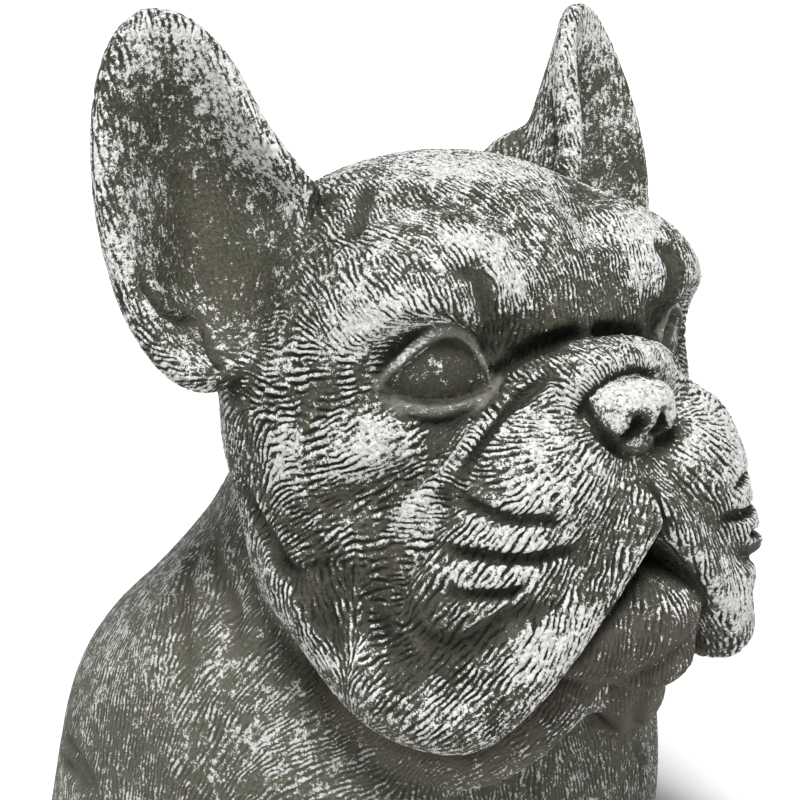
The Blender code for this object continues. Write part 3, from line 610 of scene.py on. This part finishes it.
def lay():
    lie = np.array(LIE, float)
    at, way = onto_form(lie[:, :2])
    _, right, up, _ = sight()
    a = np.radians(lie[:, 2])
    away = np.sign(np.cos(a) * (lie[:, 0] - NOSE_AT[0]) + np.sin(a) * (NOSE_AT[1] - lie[:, 1]))
    run = away[:, None] * (np.cos(a)[:, None] * right + np.sin(a)[:, None] * up)
    n = slope(form, at, 1.5)[0]
    lean = (run * n).sum(1) / np.minimum((way * n).sum(1), -0.3)
    run = run - lean[:, None] * way
    run = run - (run * n).sum(1)[:, None] * n
    run /= np.linalg.norm(run, axis=1)[:, None]
    run[:, 0] *= np.where(at[:, 0] < 0, -1, 1)
    other = np.array([b[0] for b in LIE_BEHIND], float), np.array([unit(b[1]) for b in LIE_BEHIND])
    return np.vstack([folded(at), other[0]]), np.vstack([run, other[1]])


def spread(p, values, centres, shape):
    """blend values given at the centres over the points p"""
    out = np.zeros((len(p), values.shape[1]))
    for i in range(0, len(p), 20000):
        q = p[i : i + 20000].astype(np.float32)
        d = ((q**2).sum(1)[:, None] + (centres**2).sum(1)[None] - 2 * q @ centres.T.astype(np.float32)).clip(0)
        out[i : i + 20000] = shape(d) @ values
    return out


GUIDE_AT, GUIDE_RUN = lay()


def across_fur(p, n):
    """at each point, the unit direction that lies in the surface and across the strokes"""
    run = spread(folded(p), GUIDE_RUN, GUIDE_AT, lambda d: 1 / (d + 12.0) ** 2.6)
    run[:, 0] *= np.tanh(p[:, 0] / 5)
    run -= (run * n).sum(1)[:, None] * n
    a = np.cross(n, run)
    return a / np.maximum(np.linalg.norm(a, axis=1), 1e-9)[:, None]


WORN_AT = folded(onto_form(np.array(WORN)[:, :2])[0])


def zones(p, n):
    """how much fur, white, ear, lip and nose there is at each point"""
    a = folded(p)
    worn = np.array(WORN, float)
    size = worn[:, 2] * VIEW_FROM / VIEW_SCALE
    white = spread(a, worn[:, 3:4], WORN_AT, lambda d: np.exp(-d / (size * size * 2.2)[None]))[:, 0]
    white = np.tanh(white * 1.1) / 1.1
    q = a - np.array(EYE_CENTRE)
    side, v, r = q @ EYE_SIDE, q[:, 2], np.sqrt((q * q).sum(1))
    top, low = lid_edges(side)
    gap = np.maximum(np.maximum(v - top, low - v), np.abs(side) - EYE_WIDTH / 2)
    by_eye = (r < EYE_R + 6) & (q @ EYE_OUT > 0)
    ball = np.where(by_eye, ease((0.6 - gap) / 1.2), 0)
    lids = np.where(by_eye, ease((5.5 - gap) / 2.5), 0) * (1 - ball)
    # painted shade: dark lines in the gap between each lid and the eyeball, and in the fold beyond the lid
    lid_shade_line = np.where(by_eye, np.exp(-(((gap - 0.2) / 0.45) ** 2)) + 0.55 * np.exp(-(((gap - 4.4) / 0.5) ** 2)), 0)
    nose_d = np.maximum(mass(p, (0, 31, -13), (15.6, 11, 11)), 26 - p[:, 1])
    pad = ease((1.6 - nose_d) / 1.6)
    e = a - np.array(EAR_CENTRE)
    s, u = e @ EAR_SIDE, e @ EAR_UP
    k = np.sqrt((u / EAR_HALF) ** 2 + (s / np.where(s > 0, EAR_OUTER, ear_width(u))) ** 2)
    m = n * np.where(p[:, 0:1] < 0, (-1, 1, 1), (1, 1, 1))
    cup = ease((0.93 - k) / 0.2) * ease((m @ EAR_OPEN + 0.1) / 0.35) * (np.abs(e @ EAR_OPEN) < 40)
    ears = ease((1.06 - k) / 0.1) * (a[:, 0] > 44)
    chin = ease((4 - mass(p, (0, 24, -72), (25, 22, 19))) / 4) * ease((40 - p[:, 2] - 108) / 6 + 1)
    lip = np.maximum(chin * (p[:, 2] < -48), ease((3 - roll(a, JAW)) / 4) * ease((-66 - p[:, 2]) / 6))
    body = ease((-62 - p[:, 2] - 0.55 * (p[:, 1] + 20)) / 26)
    fur = (1 - ball) * (1 - pad) * (1 - 0.75 * lids) * (1 - 0.75 * cup) * (1 - 0.3 * lip) * (1 - 0.25 * ears)
    fur = fur * (1 - 0.35 * body)
    white = white * (1 - 0.3 * body) - 0.06 * body
    fur *= np.where(p[:, 2] < -EYE_HEIGHT + 0.4, 0, 1)
    # finer strokes round the nose, on the forehead and on the lips
    to_nose = np.sqrt(((a - (0, 26, -12)) ** 2).sum(1))
    dense = 1 + 0.3 * ease((34 - to_nose) / 18) + 0.28 * ease((p[:, 2] - 2) / 14) * (1 - ears) + 0.25 * lip + 0.2 * body
    return {"dense": dense, "fur": fur, "white": white, "cup": cup, "ears": ears, "lip": lip, "ball": ball, "lids": lids,
            "pad": pad * (0.1 + 0.9 * ease((n @ unit((0, 0.55, 0.83)) - 0.3) / 0.35) * ease((p[:, 2] + 18) / 5)),
            "lid_shade_line": lid_shade_line, "body": body}


def creases(p):
    """1 along the bottom of each fold, 0 away from it; the stone material paints shade along it"""
    a, out = hang(p), np.zeros(len(p))
    a[:, 0] = np.abs(a[:, 0])
    for depth, width, line in LINES:
        j = near(a, line.min(0), line.max(0), 2 * width)
        if depth > 0 and len(j):
            out[j] = np.maximum(out[j], press(a[j], line, min(0.6 * width, 1.5)) * min(1, depth / 2.2))
    return out


def relief(p, n):
    """how far each point lies in a recess, by ambient occlusion that the stone material paints as shade, and how far on
    a crest
    """
    base, occlusion_shade, crest = field(p), 0, 0
    # ambient occlusion of the form: the stone material paints it as shade in the recesses
    for s, share in ((1.6, 0.35), (4.0, 0.35), (10.0, 0.3)):
        occlusion_shade = occlusion_shade + share * np.clip(1 - (field(p + n * s) - base) / s, 0, 1)
    for s in (1.6, 4.0):
        crest = crest + 0.5 * np.clip(1 + (field(p - n * s) - base) / s, 0, 1)
    z = zones(p, n)
    occlusion_shade = occlusion_shade * (1 - 0.75 * z["ball"]) * (1 - 0.6 * z["lids"]) * (1 - 0.4 * z["cup"])
    return occlusion_shade * (1 - 0.4 * z["body"]), crest


# ---- node helpers ----
class Graph:
    def __init__(self, tree):
        self.tree = tree

    def put(self, socket, value):
        if isinstance(value, bpy.types.NodeSocket):
            self.tree.links.new(value, socket)
        elif value is not None:
            socket.default_value = value

    def node(self, kind, settings=None, **inputs):
        n = self.tree.nodes.new(kind)
        for key, value in (settings or {}).items():
            setattr(n, key, value)
        for key, value in inputs.items():
            self.put(next(s for s in n.inputs if s.identifier == key.replace("_", " ") or s.identifier == key), value)
        return n

    def math(self, op, a, b=None, c=None, clamp=False):
        n = self.tree.nodes.new("ShaderNodeMath")
        n.operation, n.use_clamp = op, clamp
        for s, v in zip(n.inputs, (a, b, c)):
            self.put(s, v)
        return n.outputs[0]

    def vec(self, op, a, b=None, scale=None):
        n = self.tree.nodes.new("ShaderNodeVectorMath")
        n.operation = op
        self.put(n.inputs[0], a)
        self.put(n.inputs[1], b)
        if scale is not None:
            self.put(n.inputs["Scale"], scale)
        return n.outputs["Value" if op in ("DOT_PRODUCT", "LENGTH") else "Vector"]

    def rise(self, x, lo, hi, a=0.0, b=1.0, smooth=True):
        n = self.tree.nodes.new("ShaderNodeMapRange")
        n.interpolation_type = "SMOOTHSTEP" if smooth else "LINEAR"
        for s, v in zip(n.inputs, (x, lo, hi, a, b)):
            self.put(s, v)
        return n.outputs[0]

    def noise(self, at, scale, detail=2.0, rough=0.5, colour=False):
        n = self.tree.nodes.new("ShaderNodeTexNoise")
        self.put(n.inputs["Vector"], at)
        for key, v in (("Scale", scale), ("Detail", detail), ("Roughness", rough)):
            self.put(n.inputs[key], v)
        return n.outputs[1 if colour else 0]

    def mix(self, f, a, b):
        n = self.tree.nodes.new("ShaderNodeMix")
        n.data_type = "RGBA"
        for key, v in (("Factor_Float", f), ("A_Color", a), ("B_Color", b)):
            self.put(next(s for s in n.inputs if s.identifier == key), v)
        return next(s for s in n.outputs if s.identifier == "Result_Color")

    def strokes(self, at, across, dense, length, pitch):
        """carved strokes, 0 in their grooves and 1 on their ridges"""
        wander = self.vec("SUBTRACT", self.noise(at, 260.0, 1.0, colour=True), (0.5, 0.5, 0.5))
        at = self.vec("ADD", at, self.vec("SCALE", wander, scale=0.0016))
        n = self.tree.nodes.new("ShaderNodeTexGabor")
        n.gabor_type = "3D"
        self.put(n.inputs["Vector"], at)
        self.put(n.inputs["Scale"], 1000.0 / length)
        spacing = self.rise(self.noise(at, 110.0, 0.0), 0.3, 0.7, 0.72, 1.3, smooth=False)
        spacing = self.math("MULTIPLY", spacing, dense)
        self.put(n.inputs["Frequency"], self.math("MULTIPLY", spacing, length / pitch))
        self.put(n.inputs["Anisotropy"], 1.0)
        self.put(next(s for s in n.inputs if s.name == "Orientation" and s.type == "VECTOR"), across)
        return n.outputs["Value"]


STROKE, PITCH, CARVED = 5.0, 1.8, 0.0009     # length and pitch in mm, depth in metres


def carving():
    """geometry nodes that press the strokes into the form"""
    tree = bpy.data.node_groups.new("carving", "GeometryNodeTree")
    tree.interface.new_socket("Geometry", in_out="INPUT", socket_type="NodeSocketGeometry")
    tree.interface.new_socket("Geometry", in_out="OUTPUT", socket_type="NodeSocketGeometry")
    g = Graph(tree)

    def named(name, kind):
        n = tree.nodes.new("GeometryNodeInputNamedAttribute")
        n.data_type = kind
        n.inputs["Name"].default_value = name
        return n.outputs["Attribute"]

    start, end = tree.nodes.new("NodeGroupInput"), tree.nodes.new("NodeGroupOutput")
    place = tree.nodes.new("GeometryNodeInputPosition").outputs[0]
    cut_in = g.rise(g.strokes(place, named("across", "FLOAT_VECTOR"), named("dense", "FLOAT"), STROKE, PITCH), 0.3, 0.6)
    pores = g.math("MULTIPLY", g.math("SUBTRACT", g.noise(place, 420.0, 3.0), 0.5), 0.5)
    deep = g.math("MULTIPLY", g.math("SUBTRACT", cut_in, 0.7), named("fur", "FLOAT"))
    move = g.math("MULTIPLY", g.math("ADD", deep, pores), named("depth", "FLOAT"))
    setter = tree.nodes.new("GeometryNodeSetPosition")
    tree.links.new(start.outputs[0], setter.inputs["Geometry"])
    g.put(setter.inputs["Offset"], g.vec("SCALE", named("out", "FLOAT_VECTOR"), scale=move))
    tree.links.new(setter.outputs[0], end.inputs[0])
    return tree


def world(p):
    return p * (1, -1, 1)


def attribute(me, name, values):
    kind = "FLOAT_VECTOR" if values.ndim == 2 else "FLOAT"
    a = me.attributes.new(name, kind, "POINT")
    a.data.foreach_set("vector" if values.ndim == 2 else "value", values.astype(np.float32).ravel())


SHIFT = np.array([0.0, -0.06504, EYE_HEIGHT / 1000])


def bust():
    points, quads = grid_mesh((-114, -192, -EYE_HEIGHT - 6), (114, 74, 108), GRID)
    points = settle(points)
    uneven = np.abs(slope(field, points, 0.8)[1] - 1) > 0.3
    a = folded(points) - np.array(EAR_CENTRE)
    by_ear = (np.sqrt((a @ EAR_UP / EAR_HALF) ** 2 + (a @ EAR_SIDE / EAR_INNER) ** 2) < 1.35) & (a[:, 0] > -50)
    weight = np.where(by_ear, 1.0, np.where(uneven, 0.6, 0.15)) * (points[:, 2] > -EYE_HEIGHT + 1)
    points = smoothed(points, quads, weight, 4)
    # the side that is seen closest gets a grid twice as fine
    eye_at, _, _, _ = sight()
    c = points[quads].mean(1)
    n = np.cross(points[quads[:, 2]] - points[quads[:, 0]], points[quads[:, 3]] - points[quads[:, 1]])
    n /= np.maximum(np.linalg.norm(n, axis=1), 1e-9)[:, None]
    to_eye = eye_at - c
    to_eye /= np.linalg.norm(to_eye, axis=1)[:, None]
    chosen = ((n * to_eye).sum(1) > 0.1) & (c[:, 2] > -104) & (c[:, 1] > -62) & (c[:, 2] < 62)
    before = len(points)
    points, loops, sides = split(points, quads, chosen)
    new = points[before:]
    a = folded(new) - np.array(EAR_CENTRE)
    keep = np.sqrt((a @ EAR_UP / EAR_HALF) ** 2 + (a @ EAR_SIDE / EAR_INNER) ** 2) < 1.3
    points[before:] = np.where(keep[:, None], new, settle(new, 1))
    flat = points[:, 2] < -EYE_HEIGHT + 0.4
    points[flat, 2] = -EYE_HEIGHT
    # faces turn over with the mirrored axis
    starts = np.concatenate([[0], np.cumsum(sides)[:-1]])
    order = np.repeat(starts + sides - 1, sides) - (np.arange(len(loops)) - np.repeat(starts, sides))
    me = mesh_of("carved_bust", world(points) / 1000 + SHIFT, loops[order], sides)
    n = slope(form, points, 1.2)[0]
    z = zones(points, n)
    attribute(me, "across", world(across_fur(points, n)))
    attribute(me, "out", world(n))
    attribute(me, "fur", z["fur"])
    attribute(me, "dense", z["dense"])
    seen = np.where(points[:, 0] < 0, 1, 0.75) * (0.45 + 0.55 * ease((points[:, 1] + 80) / 30))
    rough = CARVED * seen * (1 - 0.85 * z["ball"]) * (1 - 0.6 * z["lids"]) * (1 - 0.5 * z["cup"]) * np.where(flat, 0, 1)
    attribute(me, "depth", rough)
    ob = bpy.data.objects.new("carved_bust", me)
    bpy.context.scene.collection.objects.link(ob)
    carve = ob.modifiers.new("Carving", "NODES")
    carve.node_group = carving()
    thin = ob.modifiers.new("Thin", "DECIMATE")
    thin.ratio = min(1.0, TARGET / (sides - 2).sum())
    thin.use_collapse_triangulate = True
    view = bpy.context.evaluated_depsgraph_get()
    done = bpy.data.meshes.new_from_object(ob.evaluated_get(view), depsgraph=view)
    ob.modifiers.clear()
    ob.data = done
    for name in [a.name for a in done.attributes if a.name in ("across", "out", "fur", "dense", "depth")]:
        done.attributes.remove(done.attributes[name])
    p = np.zeros(len(done.vertices) * 3, np.float32)
    done.vertices.foreach_get("co", p)
    p = world((p.reshape(-1, 3).astype(float) - SHIFT) * 1000)
    n = slope(form, p, 1.2)[0]
    z = zones(p, n)
    z["occlusion_shade"], z["crest"] = relief(p, n)
    z["crease_shade"] = creases(p) * (1 - 0.6 * z["body"])
    attribute(done, "across", world(across_fur(p, n)))
    for name in ("fur", "white", "cup", "ears", "lip", "pad", "ball", "lids", "occlusion_shade", "crest", "crease_shade",
                 "dense", "lid_shade_line", "body"):
        attribute(done, name, z[name])
    print("occlusion_shade", np.percentile(z["occlusion_shade"], (5, 25, 50, 75, 95)), "crest", np.percentile(z["crest"], (5, 25, 50, 75, 95)))
    done.shade_smooth()
    print("carved_bust", len(done.polygons), "triangles")
    return ob


def stone():
    m = bpy.data.materials.new("weathered_cast_stone")
    m.use_nodes = True
    g = Graph(m.node_tree)
    shader = m.node_tree.nodes["Principled BSDF"]

    def named(name, vector=False):
        n = m.node_tree.nodes.new("ShaderNodeAttribute")
        n.attribute_name = name
        return n.outputs["Vector" if vector else "Fac"]

    at = m.node_tree.nodes.new("ShaderNodeTexCoord").outputs["Object"]
    fur, white, cup, lip = named("fur"), named("white"), named("cup"), named("lip")
    pad, ball, lids = named("pad"), named("ball"), named("lids")
    occlusion_shade, crest, crease_shade = named("occlusion_shade"), named("crest"), named("crease_shade")
    lid_shade_line, body, dense = named("lid_shade_line"), named("body"), named("dense")
    carved = g.strokes(at, named("across", True), dense, STROKE, PITCH)
    ridge = g.rise(carved, 0.33, 0.66, smooth=False)
    fine, speck = g.noise(at, 900.0, 2.0, 0.6), g.noise(at, 2400.0, 2.0, 0.65)
    cloud, patch = g.noise(at, 45.0, 2.0, 0.55), g.noise(at, 300.0, 2.0, 0.5)

    # where the white stands: on ridges, more where the surface is worn, broken by the stone's grain
    terms = [(ridge, 0.5, g.math("MULTIPLY", fur, 1.05)), (fine, 0.5, 1.7), (speck, 0.5, 1.9), (patch, 0.5, 1.9),
             (cloud, 0.5, 1.0), (white, 0.0, 0.85), (crest, 0.1, 0.8), (occlusion_shade, 0.08, -1.75), (lip, 0.0, -0.45),
             (cup, 0.0, -0.05), (ball, 0.0, -0.25), (lids, 0.0, -0.15), (pad, 0.0, 0.62), (crease_shade, 0.0, -1.3),
             (lid_shade_line, 0.0, -1.6), (dense, 1.0, 0.45), (body, 0.0, -0.1)]
    hold = -0.2
    for value, middle, share in terms:
        hold = g.math("ADD", hold, g.math("MULTIPLY", g.math("SUBTRACT", value, middle), share))
    brushed = g.rise(hold, 0.0, 0.24)
    open_groove = g.math("MULTIPLY", g.rise(ridge, 0.22, 0.02), g.math("MULTIPLY", fur, 0.85))
    brushed = g.math("MULTIPLY", brushed, g.math("SUBTRACT", 1.0, open_groove))

    grey = g.mix(g.rise(cloud, 0.35, 0.65), (0.043, 0.044, 0.030, 1), (0.078, 0.077, 0.054, 1))
    grey = g.mix(g.rise(fine, 0.3, 0.75, 0.0, 0.5), grey, (0.15, 0.145, 0.112, 1))
    grey = g.mix(g.rise(speck, 0.48, 0.25, 0.0, 0.7), grey, (0.016, 0.016, 0.012, 1))
    grey = g.mix(g.math("MULTIPLY", body, 0.6), grey, (0.125, 0.123, 0.094, 1))
    grey = g.mix(g.math("MULTIPLY", ball, 0.6), grey, (0.048, 0.048, 0.036, 1))
    # painted highlight: the lids turn pale grey on their crests
    grey = g.mix(g.math("MULTIPLY", lids, g.rise(crest, 0.0, 0.4, 0.2, 0.85)), grey, (0.25, 0.245, 0.21, 1))
    grey = g.mix(g.math("MULTIPLY", lip, 0.55), grey, (0.085, 0.066, 0.055, 1))
    grey = g.mix(g.math("MULTIPLY", g.rise(patch, 0.5, 0.7), 0.25), grey, (0.11, 0.085, 0.075, 1))
    # painted shade, near black: in the grooves between the carved strokes, in the recesses and along the folds
    shade = g.math("MULTIPLY", fur, g.rise(dense, 1.0, 1.3, 0.85, 0.62))
    groove_shade = g.math("MULTIPLY", g.rise(ridge, 0.62, 0.08), shade)
    # painted shade: the ambient occlusion of the recesses darkens the grey towards black
    groove_shade = g.math("MAXIMUM", groove_shade, g.rise(occlusion_shade, 0.1, 0.5, 0.0, 0.8))
    # painted shade along the bottoms of the folds
    groove_shade = g.math("MAXIMUM", groove_shade, g.math("MULTIPLY", crease_shade, 0.85))
    grey = g.mix(groove_shade, grey, (0.008, 0.008, 0.006, 1))
    chalk = g.mix(g.rise(fine, 0.3, 0.7), (0.46, 0.46, 0.44, 1), (0.78, 0.78, 0.765, 1))
    chalk = g.mix(g.math("MULTIPLY", body, 0.45), chalk, (0.40, 0.40, 0.375, 1))
    colour = g.mix(brushed, grey, chalk)
    # painted shade: dark lines along the bottoms of the folds, laid over the white too
    colour = g.mix(g.math("MULTIPLY", crease_shade, 0.4), colour, (0.012, 0.012, 0.009, 1))
    # painted shade along the lids' edges and folds
    colour = g.mix(g.math("MULTIPLY", lid_shade_line, 0.85), colour, (0.012, 0.012, 0.009, 1))
    g.put(shader.inputs["Base Color"], colour)
    g.put(shader.inputs["Roughness"], g.rise(brushed, 0.0, 1.0, 0.72, 0.92))
    shader.inputs["Specular IOR Level"].default_value = 0.22

    height = g.math("MULTIPLY", g.noise(at, 900.0, 2.0, 0.6), 0.0007)
    height = g.math("ADD", height, g.math("MULTIPLY", g.noise(at, 2600.0, 1.0, 0.6), 0.00012))
    bump = m.node_tree.nodes.new("ShaderNodeBump")
    bump.inputs["Strength"].default_value = 1.0
    bump.inputs["Distance"].default_value = 1.0
    g.put(bump.inputs["Height"], height)
    g.put(shader.inputs["Normal"], bump.outputs[0])
    return m


def floor():
    """a pale floor that curves up far behind"""
    turn = [(3.0 + 1.5 * math.sin(t), 1.5 - 1.5 * math.cos(t)) for t in np.linspace(0, math.pi / 2, 17)]
    rows = [(-3.0, 0.0)] + turn + [(4.5, 6.0)]
    view = -math.radians(VIEW_TURN)
    points = [(x * math.cos(view) + y * math.sin(view) * -1, x * math.sin(view) + y * math.cos(view), z)
              for y, z in rows for x in (-7.0, 7.0)]
    me = bpy.data.meshes.new("floor")
    me.from_pydata(points, [], [(2 * i, 2 * i + 1, 2 * i + 3, 2 * i + 2) for i in range(len(rows) - 1)])
    me.shade_smooth()
    ob = bpy.data.objects.new("floor", me)
    bpy.context.scene.collection.objects.link(ob)
    m = bpy.data.materials.new("pale_floor")
    m.use_nodes = True
    m.node_tree.nodes["Principled BSDF"].inputs["Base Color"].default_value = (0.9, 0.9, 0.9, 1)
    m.node_tree.nodes["Principled BSDF"].inputs["Roughness"].default_value = 0.9
    me.materials.append(m)


def studio():
    """soft light from all round, and more from above, a little from the side where the camera stands"""
    w = bpy.data.worlds.new("studio")
    bpy.context.scene.world = w
    w.use_nodes = True
    w.node_tree.nodes["Background"].inputs["Color"].default_value = (1, 1, 1, 1)
    w.node_tree.nodes["Background"].inputs["Strength"].default_value = 0.29
    light = bpy.data.lights.new("soft_sky", "SUN")
    light.energy, light.angle = 3.7, math.radians(24)
    ob = bpy.data.objects.new("soft_sky", light)
    bpy.context.scene.collection.objects.link(ob)
    ob.rotation_euler = Vector((-0.28, -0.36, 0.88)).to_track_quat("Z", "Y").to_euler()


def camera():
    eye_at, right, up, back = sight()
    cam = bpy.data.cameras.new("camera")
    cam.sensor_width, cam.lens = 36.0, VIEW_SCALE * 36 / 800
    ob = bpy.data.objects.new("camera", cam)
    bpy.context.scene.collection.objects.link(ob)
    axes = [world(v) for v in (right, up, back)]
    m = Matrix([[*(float(a[i]) for a in axes), 0.0] for i in range(3)] + [[0, 0, 0, 1]])
    m.translation = Vector((world(eye_at) / 1000 + SHIFT).tolist())
    ob.matrix_world = m
    cam.clip_start, cam.clip_end = 0.05, 20
    bpy.context.scene.camera = ob


piece = bust()
piece.data.materials.clear()
piece.data.materials.append(stone())
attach(piece, "root")
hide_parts("bulldog_bust")
floor()
studio()
camera()
bpy.context.scene.view_settings.view_transform = "Standard"
